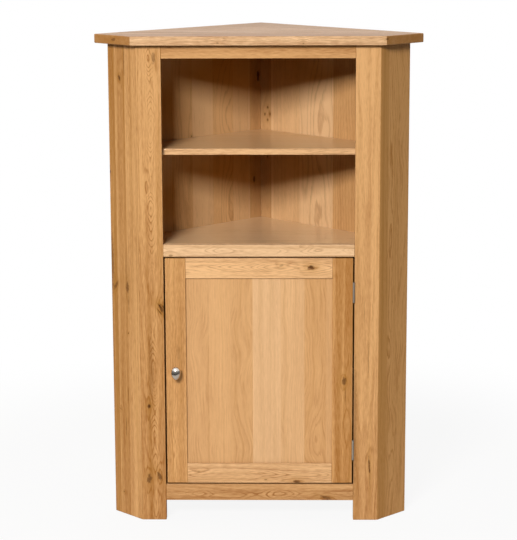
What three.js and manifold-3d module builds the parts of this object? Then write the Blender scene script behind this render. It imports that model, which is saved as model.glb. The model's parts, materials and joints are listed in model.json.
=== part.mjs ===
// Corner cupboard in lacquered oak: a five-sided carcass with open shelves above and one framed door below.
// The front lies on the plane y = 0 of the carcass. The walls run back at 45 degrees to a right-angled corner.
// The finished group stands on z = 0, with x = y = 0 at the middle of the overall plan.
import * as THREE from 'three';
import { mergeVertices } from 'three/addons/utils/BufferGeometryUtils.js';
import Module from 'manifold-3d';

const wasm = await Module();
wasm.setup();

// Driving dimensions in millimetres, carcass
const overallHeight = 1200;
const frontWidth = 584;
const returnWidth = 103;
const boardThickness = 20;
const stileWidth = 60;
const backPanelThickness = 15;
const backPanelRecess = 5;
const jointClearance = 0.3;

// Top board
const topThickness = 22;
const topArris = 2;
const frontOverhang = 20;
const returnOverhang = 22;
const backOverhang = 22;

// Rails of the front frame and the feet below them
const footHeight = 51;
const plinthRailHeight = 41.5;
const topRailHeight = 32;
const middleRailHeight = 30;
const tenonLength = 15;
const tenonThickness = 8;
const tenonShoulder = 5;

// Shelves, levels measured from the floor to the upper face
const middleShelfLevel = 697;
const upperShelfLevel = 928;
const cupboardShelfLevel = 381.5;
const fixedBoardThickness = 18;
const looseShelfThickness = 15;
const looseShelfClearance = 1;
const cupboardShelfSetback = 15;
const tongueThickness = 6;
const tongueDepth = 6;

// Supports: cleats, glue blocks, back foot, shelf pegs
const cleatHeight = 22;
const cleatThickness = 18;
const cleatEndGap = 30;
const rearFootSize = 60;
const topBlockLength = 80;
const topBlockDepth = 25;
const topBlockHeight = 25;
const pegRadius = 2.5;
const pegDepth = 9;
const pegReach = 9;
const returnPegShare = 0.45;
const wallPegShare = 0.45;

// Door
const doorGap = 3.5;
const doorThickness = 20;
const doorStileWidth = 50;
const doorRailHeight = 50;
const panelThickness = 8;
const panelSetback = 5;
const grooveDepth = 8;
const panelEdgeGap = 1;

// Butt hinges
const hingeLength = 50;
const hingeEndDistance = 60;
const leafWidth = 17;
const leafThickness = 1.4;
const barrelRadius = 2.6;
const barrelProud = 2;
const knuckleCount = 5;
const knuckleGap = 0.3;
const pinRadius = 1.2;
const pinClearance = 0.06;
const leafScrewSpacing = 30;
const leafScrewShare = 0.62;

// Knob
const knobWidth = 24;
const knobHeight = 34;
const knobProjection = 27;
const knobHeadThickness = 14;
const knobNeckRadius = 5;
const knobFootRadius = 7.5;
const knobFootThickness = 3;
const knobFlareHeight = 3;
const knobRimShare = 1 / 3;
const knobWidestShare = 0.43;
const knobTaperShare = 0.3;
const knobTaperPower = 2.5;
const knobThreadDepth = 10;

// Magnetic catch
const catchDrop = 90;
const catchBlockWidth = 20;
const catchBlockDepth = 24;
const catchBlockHeight = 70;
const catchBodyWidth = 14;
const catchBodyDepth = 15;
const catchBodyHeight = 46;
const catchHousingHeight = 28;
const catchEarThickness = 3;
const catchWall = 3;
const magnetProud = 1;
const strikeWidth = 14;
const strikeHeight = 30;
const strikeThickness = 1.4;
const strikeEdgeMargin = 1.5;

// Screws: countersunk wood screws, and the machine screw of the knob
const leafScrew = { headRadius: 2.9, headHeight: 1.4, shankRadius: 1.3, length: 14, tipLength: 3 };
const blockScrew = { headRadius: 3.5, headHeight: 2.4, shankRadius: 1.7, length: 38, tipLength: 4 };
const catchScrew = { headRadius: 2.6, headHeight: 1.4, shankRadius: 1.2, length: 13, tipLength: 3 };
const knobScrewHeadRadius = 4;
const knobScrewHeadHeight = 2.2;
const knobScrewRadius = 2;

// Facets of round pieces, and how far a cutting shape runs past the face that it cuts
const barrelSides = 24;
const screwSides = 12;
const pegSides = 16;
const knobSides = 36;
const knobDomeSteps = 7;
const knobBackSteps = 4;
const arrisSteps = 2;
const overrun = 1;
const mergeDistance = 1e-4;

// Colours from the photograph
const oakPale = 0xd9a86c;
const oakWarm = 0xc98f55;
const oakPanel = 0xdcaa74;
const nickelGrey = 0xb8b2a6;
const steelGrey = 0x9c9a94;
const plasticBrown = 0x5a4030;

// Surface finishes
const lacquered = { roughness: 0.45, metalness: 0 };
const satinNickel = { roughness: 0.3, metalness: 1 };
const zincPlated = { roughness: 0.4, metalness: 1 };
const moulded = { roughness: 0.5, metalness: 0 };

// Plan of the carcass: lines of the slanted faces as x - y (returns) and x + y (back walls)
const slant = Math.SQRT1_2;
const halfFront = frontWidth / 2;
const openingHalf = halfFront - stileWidth;
const returnReach = returnWidth * slant;
const returnInnerLine = halfFront - boardThickness / slant;
const bodyBackLine = halfFront + returnReach + returnReach;
const backInnerLine = bodyBackLine - (backPanelRecess + backPanelThickness) / slant;
const wallLength = (backInnerLine + returnInnerLine) / (slant + slant);
const mitreReach = boardThickness * Math.tan(Math.PI / 8);
const mitreSeam = jointClearance / (Math.cos(Math.PI / 8) * 2);
const topReturnLine = halfFront + returnOverhang / slant;
const topBackLine = bodyBackLine + backOverhang / slant;
const frontReach = Math.max(knobProjection, frontOverhang);
const depthCentre = (topBackLine - frontReach) / 2;

// Heights
const carcassTop = overallHeight - topThickness;
const topRailBottom = carcassTop - topRailHeight;
const middleRailBottom = middleShelfLevel - middleRailHeight;
const middleShelfUnderside = middleShelfLevel - fixedBoardThickness;
const bottomBoardLevel = footHeight + plinthRailHeight;
const bottomBoardUnderside = bottomBoardLevel - fixedBoardThickness;

// Door, measured from the hinge line in its own frame
const doorHeight = middleRailBottom - bottomBoardLevel - doorGap * 2;
const doorBottom = bottomBoardLevel + doorGap;
const doorWidth = (openingHalf - doorGap) * 2;
const hingeLineX = openingHalf - doorGap / 2;
const hingeLinePlace = [hingeLineX, -barrelProud, doorBottom];
const doorHingeEdge = -doorGap / 2;
const doorLatchEdge = doorHingeEdge - doorWidth;
const doorFront = barrelProud;
const doorBack = doorFront + doorThickness;
const grooveFront = doorFront + panelSetback;
const grooveWidth = panelThickness + jointClearance * 2;
const lowerHingeCentre = hingeEndDistance + hingeLength / 2;
const upperHingeCentre = doorHeight - lowerHingeCentre;
const hingeNames = ['lower', 'upper'];
const hingeCentres = [lowerHingeCentre, upperHingeCentre];
const leafScrewDepth = leafWidth * leafScrewShare;
const leafFace = barrelRadius - leafThickness;

// Catch, in the frame of the carcass
const catchCentre = middleRailBottom - catchDrop;
const strikeFace = doorThickness + strikeThickness;
const catchFront = strikeFace + jointClearance + magnetProud;
const magnetWidth = catchBodyWidth - catchWall * 2;
const magnetHeight = catchHousingHeight - catchWall * 2;
const magnetDepth = catchBodyDepth - catchWall;
const catchScrewPlace = (catchHousingHeight + catchBodyHeight) / 4;
const catchMiddleDepth = catchFront + catchBodyDepth / 2;

// Shapes

function box(xa, xb, ya, yb, za, zb) {
  const geometry = new THREE.BoxGeometry(Math.abs(xb - xa), Math.abs(yb - ya), Math.abs(zb - za));
  return geometry.translate((xa + xb) / 2, (ya + yb) / 2, (za + zb) / 2);
}

function slab(outline, low, high) {
  const shape = new THREE.Shape(outline.map(([x, y]) => new THREE.Vector2(x, y)));
  const geometry = new THREE.ExtrudeGeometry(shape, { depth: high - low, bevelEnabled: false });
  return geometry.translate(0, 0, low);
}

// A turned shape about +Z from a profile of [radius, height] points that starts and ends on the axis
function turned(profile, sides) {
  const points = profile.map(([radius, height]) => new THREE.Vector2(radius, height));
  return new THREE.LatheGeometry(points, sides).rotateX(Math.PI / 2);
}

// Turns a shape made about +Z so that it points along a direction, and moves it to a place
function aim(geometry, place, direction) {
  const up = new THREE.Vector3(0, 0, 1);
  const turn = new THREE.Quaternion().setFromUnitVectors(up, new THREE.Vector3(...direction).normalize());
  return geometry.applyQuaternion(turn).translate(...place);
}

function rod(start, end, radius, sides) {
  const direction = end.map((value, i) => value - start[i]);
  const length = Math.hypot(...direction);
  const profile = [[0, 0], [radius, 0], [radius, length], [0, length]];
  return aim(turned(profile, sides), start, direction);
}

// Solids: joins and cuts

function toSolid(geometry) {
  if (geometry instanceof wasm.Manifold) return geometry;
  const bare = geometry.clone();
  bare.deleteAttribute('normal');
  bare.deleteAttribute('uv');
  const merged = mergeVertices(bare, mergeDistance);
  const corners = [...merged.index.array];
  const triangles = [];
  for (let i = 0; i < corners.length; i += 3) {
    const [a, b, c] = corners.slice(i, i + 3);
    if (a !== b && b !== c && c !== a) triangles.push(a, b, c);
  }
  return new wasm.Manifold(new wasm.Mesh({
    numProp: 3,
    vertProperties: new Float32Array(merged.attributes.position.array),
    triVerts: new Uint32Array(triangles),
  }));
}

function toGeometry(solid) {
  const { vertProperties, triVerts } = solid.getMesh();
  const geometry = new THREE.BufferGeometry();
  geometry.setAttribute('position', new THREE.BufferAttribute(vertProperties, 3));
  geometry.setIndex(new THREE.BufferAttribute(triVerts, 1));
  geometry.computeVertexNormals();
  return geometry;
}

function join(first, ...others) {
  return others.reduce((sum, other) => sum.add(toSolid(other)), toSolid(first));
}

function cut(blank, ...tools) {
  return tools.reduce((rest, tool) => rest.subtract(toSolid(tool)), toSolid(blank));
}

function piece(name, shape, color, finish) {
  const material = new THREE.MeshStandardMaterial({ color, ...finish });
  const mesh = new THREE.Mesh(toGeometry(toSolid(shape)), material);
  mesh.name = name;
  return mesh;
}

const oak = (name, shape, color = oakPale) => piece(name, shape, color, lacquered);
const nickel = (name, shape) => piece(name, shape, nickelGrey, satinNickel);
const steel = (name, shape) => piece(name, shape, steelGrey, zincPlated);
const plastic = (name, shape) => piece(name, shape, plasticBrown, moulded);

// Points of the slanted faces. side is +1 on the right and -1 on the left.

// On a return: along it from the front corner, and inward from its outer face
function returnPoint(side, along, inward) {
  return [side * (halfFront + (along - inward) * slant), (along + inward) * slant];
}

// On a back wall: along it from the inner back corner, and outward from its inner face
function wallPoint(side, along, outward) {
  return [side * (along + outward) * slant, backInnerLine + (outward - along) * slant];
}

function wallBoard(side, start, end, inner, outer, low, high) {
  const outline = [
    wallPoint(side, start, inner),
    wallPoint(side, end, inner),
    wallPoint(side, end, outer),
    wallPoint(side, start, outer),
  ];
  return slab(outline, low, high);
}

// Screws: a countersunk screw pointing along +Z with its head at the origin, and its hole with room all round

function screwShape(screw, room) {
  const { headRadius, headHeight, shankRadius, length, tipLength } = screw;
  const profile = [
    [0, -room],
    [headRadius + room, -room],
    [headRadius + room, 0],
    [shankRadius + room, headHeight],
    [shankRadius + room, length - tipLength],
    [0, length + room],
  ];
  return turned(room > 0 ? profile : profile.slice(0, 1).concat(profile.slice(2)), screwSides);
}

const screwAt = (screw, place, direction) => aim(screwShape(screw, 0), place, direction);
const screwHole = (screw, place, direction) => aim(screwShape(screw, jointClearance), place, direction);

// Places of the screws and pegs, used by the pieces that they join

const sides = { right: 1, left: -1 };
const leafScrewOffsets = [-leafScrewSpacing / 2, leafScrewSpacing / 2];
const catchScrewPlaces = [-catchScrewPlace, catchScrewPlace].map((offset) => [
  catchEarThickness - openingHalf,
  catchMiddleDepth,
  catchCentre + offset,
]);

function blockScrewPlace(side) {
  const plan = wallPoint(side, wallLength / 2, -jointClearance - topBlockDepth / 2);
  return [...plan, carcassTop - topBlockHeight];
}

const blockScrewHole = (side) => screwHole(blockScrew, blockScrewPlace(side), [0, 0, 1]);
const catchScrewHoles = () => catchScrewPlaces.map((place) => screwHole(catchScrew, place, [-1, 0, 0]));

// The two pegs of one side under a shelf, or their holes: one in the return, one in the back wall
function pegPair(side, shelfLevel, room) {
  const height = shelfLevel - looseShelfThickness - pegRadius - jointClearance;
  const alongReturn = returnWidth * returnPegShare;
  const alongWall = wallLength * wallPegShare;
  const returnEnd = returnPoint(side, alongReturn, boardThickness - pegDepth - room);
  const ends = [
    [returnEnd, returnPoint(side, alongReturn, boardThickness + pegReach)],
    [wallPoint(side, alongWall, pegDepth + room), wallPoint(side, alongWall, -pegReach)],
  ];
  return ends.map(([inside, tip]) => rod([...inside, height], [...tip, height], pegRadius + room, pegSides));
}

const looseShelfLevels = [upperShelfLevel, cupboardShelfLevel];
const returnPegHoles = (side) => looseShelfLevels.map((level) => pegPair(side, level, jointClearance)[0]);
const wallPegHoles = (side) => looseShelfLevels.map((level) => pegPair(side, level, jointClearance)[1]);

// Carcass

function topBoard() {
  const cantFront = topReturnLine - frontOverhang;
  const wingX = (topReturnLine + topBackLine) / 2;
  const wingY = (topBackLine - topReturnLine) / 2;
  const shape = new THREE.Shape([
    new THREE.Vector2(-cantFront, -frontOverhang),
    new THREE.Vector2(cantFront, -frontOverhang),
    new THREE.Vector2(wingX, wingY),
    new THREE.Vector2(0, topBackLine),
    new THREE.Vector2(-wingX, wingY),
  ]);
  const board = new THREE.ExtrudeGeometry(shape, {
    depth: topThickness - topArris * 2,
    bevelThickness: topArris,
    bevelSize: topArris,
    bevelOffset: -topArris,
    bevelSegments: arrisSteps,
  }).translate(0, 0, carcassTop + topArris);
  return oak('top_board', cut(board, ...Object.values(sides).map(blockScrewHole)));
}

// The slots for the three rails' tenons in the inner edge of a front stile
function railMortises(side) {
  const rails = [
    [footHeight, bottomBoardLevel],
    [middleRailBottom, middleShelfLevel],
    [topRailBottom, carcassTop],
  ];
  const front = (boardThickness - tenonThickness) / 2 - jointClearance;
  return rails.map(([low, high]) => box(
    side * (openingHalf - overrun),
    side * (openingHalf + tenonLength + jointClearance),
    front,
    boardThickness - front,
    low + tenonShoulder - jointClearance,
    high - tenonShoulder + jointClearance,
  ));
}

function frontStile(side, name, hardwareCuts) {
  const corner = halfFront - mitreSeam;
  const outline = [
    [openingHalf, 0],
    [corner, 0],
    [corner - mitreReach, boardThickness],
    [openingHalf, boardThickness],
  ];
  const blank = slab(outline.map(([x, y]) => [side * x, y]), 0, carcassTop);
  return oak(name, cut(blank, ...railMortises(side), ...hardwareCuts));
}

// Recesses and screw holes of the frame leaves in the right-hand stile
function hingeCutsInStile() {
  const leafOuter = hingeLineX + barrelRadius;
  const recesses = hingeCentres.map((centre) => box(
    openingHalf - overrun,
    leafOuter + jointClearance,
    -overrun,
    leafWidth - barrelProud + jointClearance,
    doorBottom + centre - hingeLength / 2 - jointClearance,
    doorBottom + centre + hingeLength / 2 + jointClearance,
  ));
  const holes = hingeCentres.flatMap((centre) => leafScrewHoles(1, centre));
  return [...recesses, ...holes.map((hole) => hole.translate(...hingeLinePlace))];
}

// A return, mitred to the stile along its front edge
function sideReturn(side, name) {
  const outline = [
    returnPoint(side, mitreSeam, 0),
    returnPoint(side, returnWidth, 0),
    returnPoint(side, returnWidth, boardThickness),
    returnPoint(side, mitreSeam + mitreReach, boardThickness),
  ];
  return oak(name, cut(slab(outline, 0, carcassTop), ...returnPegHoles(side)), oakWarm);
}

// The right panel runs past the corner and covers the left panel's end
function backPanel(side, name, start) {
  const end = wallLength - jointClearance;
  const board = wallBoard(side, start, end, 0, backPanelThickness, footHeight, carcassTop);
  return oak(name, cut(board, ...wallPegHoles(side)), oakPanel);
}

// A rail between the stiles, with a tenon at each end and, under a fixed board, a groove for its tongue
function frontRail(name, low, high, boardUnderside) {
  const tenonFront = (boardThickness - tenonThickness) / 2;
  const tenonReach = openingHalf + tenonLength;
  const body = join(
    box(-openingHalf, openingHalf, 0, boardThickness, low, high),
    box(
      -tenonReach,
      tenonReach,
      tenonFront,
      boardThickness - tenonFront,
      low + tenonShoulder,
      high - tenonShoulder,
    ),
  );
  if (boardUnderside === undefined) return oak(name, body);
  const middle = boardUnderside + fixedBoardThickness / 2;
  const groove = box(
    -openingHalf - overrun,
    openingHalf + overrun,
    boardThickness - tongueDepth - jointClearance,
    boardThickness + overrun,
    middle - tongueThickness / 2 - jointClearance,
    middle + tongueThickness / 2 + jointClearance,
  );
  return oak(name, cut(body, groove));
}

// Plan of a shelf that starts at a given distance behind the front and keeps clear of the walls
function shelfOutline(front, clearance) {
  const sideLine = returnInnerLine - clearance / slant;
  const backLine = backInnerLine - clearance / slant;
  const wingX = (sideLine + backLine) / 2;
  const wingY = (backLine - sideLine) / 2;
  return [
    [-sideLine - front, front],
    [sideLine + front, front],
    [wingX, wingY],
    [0, backLine],
    [-wingX, wingY],
  ];
}

function looseShelf(name, level, front) {
  return oak(name, slab(shelfOutline(front, looseShelfClearance), level - looseShelfThickness, level));
}

function fixedBoard(name, level) {
  const middle = level - fixedBoardThickness / 2;
  const plate = slab(shelfOutline(boardThickness, jointClearance), level - fixedBoardThickness, level);
  const tongue = box(
    jointClearance - openingHalf,
    openingHalf - jointClearance,
    boardThickness - tongueDepth,
    boardThickness + overrun,
    middle - tongueThickness / 2,
    middle + tongueThickness / 2,
  );
  return oak(name, join(plate, tongue));
}

// A square foot in the back corner, under the bottom board
function rearFoot() {
  const near = jointClearance;
  return oak('rear_foot', wallBoard(1, near, rearFootSize, -rearFootSize, -near, 0, bottomBoardUnderside));
}

function cleat(side, name, start, top) {
  const end = wallLength - cleatEndGap;
  const inner = -jointClearance - cleatThickness;
  return oak(name, wallBoard(side, start, end, inner, -jointClearance, top - cleatHeight, top), oakWarm);
}

// A glue block half way along each back wall, with one screw up into the top board
function topBlocks() {
  const low = carcassTop - topBlockHeight;
  const start = (wallLength - topBlockLength) / 2;
  const inner = -jointClearance - topBlockDepth;
  return Object.entries(sides).flatMap(([name, side]) => {
    const block = wallBoard(side, start, start + topBlockLength, inner, -jointClearance, low, carcassTop);
    return [
      oak(`${name}_top_block`, cut(block, blockScrewHole(side)), oakWarm),
      steel(`${name}_top_block_screw`, screwAt(blockScrew, blockScrewPlace(side), [0, 0, 1])),
    ];
  });
}

function shelfPegs(shelf, level) {
  return Object.entries(sides).flatMap(([name, side]) => {
    const [returnPeg, wallPeg] = pegPair(side, level, 0);
    return [nickel(`${shelf}_${name}_front_peg`, returnPeg), nickel(`${shelf}_${name}_back_peg`, wallPeg)];
  });
}

// Magnetic catch

function catchBlock() {
  const low = catchCentre - catchBlockHeight / 2;
  const shape = box(
    -openingHalf - catchBlockWidth,
    -openingHalf,
    boardThickness,
    boardThickness + catchBlockDepth,
    low,
    low + catchBlockHeight,
  );
  return oak('catch_block', cut(shape, ...catchScrewHoles()), oakWarm);
}

// A pocket or the magnet in it: the same box, grown by the room that the pocket leaves
function magnetShape(room) {
  const left = catchWall - openingHalf;
  return box(
    left - room,
    left + magnetWidth + room,
    catchFront - magnetProud - room,
    catchFront - magnetProud + magnetDepth + room,
    catchCentre - magnetHeight / 2 - room,
    catchCentre + magnetHeight / 2 + room,
  );
}

function catchBody() {
  const left = -openingHalf;
  const back = catchFront + catchBodyDepth;
  const body = join(
    box(
      left,
      left + catchBodyWidth,
      catchFront,
      back,
      catchCentre - catchHousingHeight / 2,
      catchCentre + catchHousingHeight / 2,
    ),
    box(
      left,
      left + catchEarThickness,
      catchFront,
      back,
      catchCentre - catchBodyHeight / 2,
      catchCentre + catchBodyHeight / 2,
    ),
  );
  return plastic('catch_body', cut(body, magnetShape(jointClearance), ...catchScrewHoles()));
}

function catchScrews() {
  const shapes = catchScrewPlaces.map((place) => screwAt(catchScrew, place, [-1, 0, 0]));
  return shapes.map((shape, i) => steel(`catch_screw_${i + 1}`, shape));
}

// Butt hinges, about their own axis with the leaf running back into the gap

const knuckleLength = hingeLength / knuckleCount;

// The stretches of the barrel that belong to a leaf: every other knuckle, the frame leaf has the outer ones
function knuckleSpans(first) {
  const spans = [];
  for (let i = first; i < knuckleCount; i += 2) {
    const low = i * knuckleLength - hingeLength / 2;
    spans.push([low, low + knuckleLength]);
  }
  return spans;
}

function hingeLeaf(name, side, ownFirst, otherFirst) {
  const halfLength = hingeLength / 2;
  const plate = box(side * leafFace, side * barrelRadius, 0, leafWidth, -halfLength, halfLength);
  const own = knuckleSpans(ownFirst).map(([low, high]) => {
    const start = Math.max(low + knuckleGap / 2, -halfLength);
    const end = Math.min(high - knuckleGap / 2, halfLength);
    return rod([0, 0, start], [0, 0, end], barrelRadius, barrelSides);
  });
  const clearRadius = barrelRadius + knuckleGap;
  const reliefs = knuckleSpans(otherFirst).map(([low, high]) => rod(
    [0, 0, low - knuckleGap / 2],
    [0, 0, high + knuckleGap / 2],
    clearRadius,
    barrelSides,
  ));
  const bore = rod([0, 0, -hingeLength], [0, 0, hingeLength], pinRadius + pinClearance, barrelSides);
  return nickel(name, cut(join(cut(plate, ...reliefs), ...own), bore, ...leafScrewHoles(side, 0)));
}

function hingePin(name) {
  return steel(name, rod([0, 0, -hingeLength / 2], [0, 0, hingeLength / 2], pinRadius, barrelSides));
}

// The screws through a leaf, and their holes, about the hinge line.
// side is +1 into the stile and -1 into the door.
function leafScrewPlaces(side, centre) {
  return leafScrewOffsets.map((offset) => [side * leafFace, leafScrewDepth, centre + offset]);
}

function leafScrewHoles(side, centre) {
  return leafScrewPlaces(side, centre).map((place) => screwHole(leafScrew, place, [side, 0, 0]));
}

function leafScrews(name, side) {
  const shapes = leafScrewPlaces(side, 0).map((place) => screwAt(leafScrew, place, [side, 0, 0]));
  return shapes.map((shape, i) => steel(`${name}_${i + 1}`, shape));
}

// Door, in its own frame with the hinge line at x = y = 0 and its lower edge at z = 0

const knobPlace = [doorLatchEdge + doorStileWidth / 2, doorHeight / 2];

// side is +1 on the hinge stile, whose outer edge is at the right
function doorStile(name, side, outerEdge, hardwareCuts) {
  const innerEdge = outerEdge - side * doorStileWidth;
  const grooveFloor = innerEdge + side * grooveDepth;
  const grooveBack = grooveFront + grooveWidth;
  const outline = [
    [outerEdge, doorFront],
    [innerEdge, doorFront],
    [innerEdge, grooveFront],
    [grooveFloor, grooveFront],
    [grooveFloor, grooveBack],
    [innerEdge, grooveBack],
    [innerEdge, doorBack],
    [outerEdge, doorBack],
  ];
  return oak(name, cut(slab(outline, 0, doorHeight), ...hardwareCuts), oakWarm);
}

function hingeCutsInDoor() {
  const recesses = hingeCentres.map((centre) => box(
    doorHingeEdge + overrun,
    -barrelRadius - jointClearance,
    doorFront - overrun,
    leafWidth + jointClearance,
    centre - hingeLength / 2 - jointClearance,
    centre + hingeLength / 2 + jointClearance,
  ));
  return [...recesses, ...hingeCentres.flatMap((centre) => leafScrewHoles(-1, centre))];
}

const strikeMiddle = doorLatchEdge + strikeEdgeMargin + strikeWidth / 2;
const strikeScrewPlace = [strikeMiddle, doorBack + strikeThickness, catchCentre - doorBottom];
const strikeScrewHole = () => screwHole(catchScrew, strikeScrewPlace, [0, -1, 0]);
const knobBoreRadius = knobScrewRadius + jointClearance;

function latchCuts() {
  const [x, z] = knobPlace;
  const hole = rod([x, doorFront - overrun, z], [x, doorBack + overrun, z], knobBoreRadius, pegSides);
  return [hole, strikeScrewHole()];
}

// edge is the height of the rail's outer edge, inward is +1 where the panel lies above it
function doorRail(name, edge, inward) {
  const left = doorLatchEdge + doorStileWidth;
  const right = doorHingeEdge - doorStileWidth;
  const innerEdge = edge + inward * doorRailHeight;
  const grooveFloor = innerEdge - inward * grooveDepth;
  const grooveBack = grooveFront + grooveWidth;
  const tenonReach = grooveDepth - jointClearance;
  const bar = box(left, right, doorFront, doorBack, edge, innerEdge);
  const groove = box(
    left - overrun,
    right + overrun,
    grooveFront,
    grooveBack,
    grooveFloor,
    innerEdge + inward * overrun,
  );
  const tenons = box(
    left - tenonReach,
    right + tenonReach,
    grooveFront + jointClearance,
    grooveBack - jointClearance,
    edge,
    grooveFloor,
  );
  return oak(name, join(cut(bar, groove), tenons));
}

function doorPanel() {
  const reach = grooveDepth - panelEdgeGap;
  return oak('door_panel', box(
    doorLatchEdge + doorStileWidth - reach,
    doorHingeEdge - doorStileWidth + reach,
    grooveFront + jointClearance,
    grooveFront + jointClearance + panelThickness,
    doorRailHeight - reach,
    doorHeight - doorRailHeight + reach,
  ), oakPanel);
}

// Raises the widest line of an oval about +Z, whose height is along Y, and draws its lower end in, as on an egg
function eggShaped(geometry, halfHeight) {
  const places = geometry.attributes.position;
  const rise = halfHeight * 2 * knobWidestShare;
  const drop = halfHeight * 2 - rise;
  for (let i = 0; i < places.count; i += 1) {
    const level = places.getY(i) / halfHeight;
    const drawnIn = knobTaperShare * Math.max(-level, 0) ** knobTaperPower;
    places.setX(i, places.getX(i) * (1 - drawnIn));
    places.setY(i, level * (level > 0 ? rise : drop) + halfHeight - rise);
  }
  return geometry;
}

// An egg-shaped head on a round neck and foot, about the line that points out of the door
function doorKnob() {
  const [x, z] = knobPlace;
  const headRadius = knobHeight / 2;
  const headBack = knobProjection - knobHeadThickness;
  const rimHeight = headBack + knobHeadThickness * knobRimShare;
  const head = [[0, headBack]];
  for (let i = 1; i <= knobBackSteps; i += 1) {
    const angle = (i / knobBackSteps) * Math.PI / 2;
    const radius = knobNeckRadius + (headRadius - knobNeckRadius) * Math.sin(angle);
    head.push([radius, rimHeight - (rimHeight - headBack) * Math.cos(angle)]);
  }
  for (let i = 1; i <= knobDomeSteps; i += 1) {
    const angle = (i / knobDomeSteps) * Math.PI / 2;
    const radius = i === knobDomeSteps ? 0 : headRadius * Math.cos(angle);
    head.push([radius, rimHeight + (knobProjection - rimHeight) * Math.sin(angle)]);
  }
  const egg = eggShaped(turned(head, knobSides).scale(knobWidth / knobHeight, 1, 1), headRadius);
  const stem = turned([
    [0, 0],
    [knobFootRadius, 0],
    [knobFootRadius, knobFootThickness],
    [knobNeckRadius, knobFootThickness + knobFlareHeight],
    [knobNeckRadius, rimHeight],
    [0, rimHeight],
  ], knobSides);
  const bore = rod([0, 0, -overrun], [0, 0, knobThreadDepth + jointClearance], knobBoreRadius, pegSides);
  const shape = toGeometry(cut(join(stem, egg), bore)).rotateX(Math.PI / 2);
  return nickel('door_knob', shape.translate(x, doorFront, z));
}

function knobScrew() {
  const [x, z] = knobPlace;
  const shank = rod([x, doorBack, z], [x, doorFront - knobThreadDepth, z], knobScrewRadius, pegSides);
  const head = rod([x, doorBack + knobScrewHeadHeight, z], [x, doorBack, z], knobScrewHeadRadius, pegSides);
  return steel('knob_screw', join(shank, head));
}

function strikePlate() {
  const middle = catchCentre - doorBottom;
  const plate = box(
    strikeMiddle - strikeWidth / 2,
    strikeMiddle + strikeWidth / 2,
    doorBack,
    doorBack + strikeThickness,
    middle - strikeHeight / 2,
    middle + strikeHeight / 2,
  );
  return steel('strike_plate', cut(plate, strikeScrewHole()));
}

// Assembly

function carcass() {
  const group = new THREE.Group();
  const cleatStart = rearFootSize + cleatEndGap;
  group.add(
    topBoard(),
    frontStile(-1, 'left_front_stile', []),
    frontStile(1, 'right_front_stile', hingeCutsInStile()),
    sideReturn(-1, 'left_side_return'),
    sideReturn(1, 'right_side_return'),
    backPanel(-1, 'left_back_panel', jointClearance),
    backPanel(1, 'right_back_panel', -backPanelThickness),
    frontRail('top_rail', topRailBottom, carcassTop),
    frontRail('middle_rail', middleRailBottom, middleShelfLevel, middleShelfUnderside),
    frontRail('plinth_rail', footHeight, bottomBoardLevel, bottomBoardUnderside),
    fixedBoard('middle_shelf', middleShelfLevel),
    fixedBoard('bottom_board', bottomBoardLevel),
    looseShelf('upper_shelf', upperShelfLevel, boardThickness + looseShelfClearance),
    looseShelf('cupboard_shelf', cupboardShelfLevel, doorThickness + cupboardShelfSetback),
    rearFoot(),
    cleat(-1, 'middle_shelf_left_cleat', cleatEndGap, middleShelfUnderside),
    cleat(1, 'middle_shelf_right_cleat', cleatEndGap, middleShelfUnderside),
    cleat(-1, 'bottom_left_cleat', cleatStart, bottomBoardUnderside),
    cleat(1, 'bottom_right_cleat', cleatStart, bottomBoardUnderside),
    ...topBlocks(),
    ...shelfPegs('upper_shelf', upperShelfLevel),
    ...shelfPegs('cupboard_shelf', cupboardShelfLevel),
    catchBlock(),
    catchBody(),
    steel('catch_magnet', magnetShape(0)),
    ...catchScrews(),
  );
  return group;
}

// The leaves, pins and screws that stay on the carcass, about the hinge line
function frameHinges() {
  const group = new THREE.Group();
  hingeNames.forEach((name, i) => {
    const hinge = new THREE.Group();
    hinge.add(
      hingeLeaf(`${name}_hinge_frame_leaf`, 1, 0, 1),
      hingePin(`${name}_hinge_pin`),
      ...leafScrews(`${name}_hinge_frame_screw`, 1),
    );
    hinge.position.z = hingeCentres[i];
    group.add(hinge);
  });
  return group;
}

function door() {
  const group = new THREE.Group();
  group.add(
    doorStile('door_latch_stile', -1, doorLatchEdge, latchCuts()),
    doorStile('door_hinge_stile', 1, doorHingeEdge, hingeCutsInDoor()),
    doorRail('door_bottom_rail', 0, 1),
    doorRail('door_top_rail', doorHeight, -1),
    doorPanel(),
    doorKnob(),
    knobScrew(),
    strikePlate(),
    steel('strike_screw', screwAt(catchScrew, strikeScrewPlace, [0, -1, 0])),
  );
  hingeNames.forEach((name, i) => {
    const hinge = new THREE.Group();
    hinge.add(hingeLeaf(`${name}_hinge_door_leaf`, -1, 1, 0), ...leafScrews(`${name}_hinge_door_screw`, -1));
    hinge.position.z = hingeCentres[i];
    group.add(hinge);
  });
  return group;
}

const cupboard = new THREE.Group();
const hingeLine = new THREE.Group();
hingeLine.position.set(...hingeLinePlace);
hingeLine.add(frameHinges(), door());
cupboard.add(carcass(), hingeLine);
cupboard.position.y = -depthCentre;

export default cupboard;
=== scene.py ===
"""Looks of an oak corner cupboard: sawn boards, hardware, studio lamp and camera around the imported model."""

import json
import math
import random
from typing import NamedTuple

import bmesh
import bpy
from mathutils import Matrix, Vector


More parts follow.
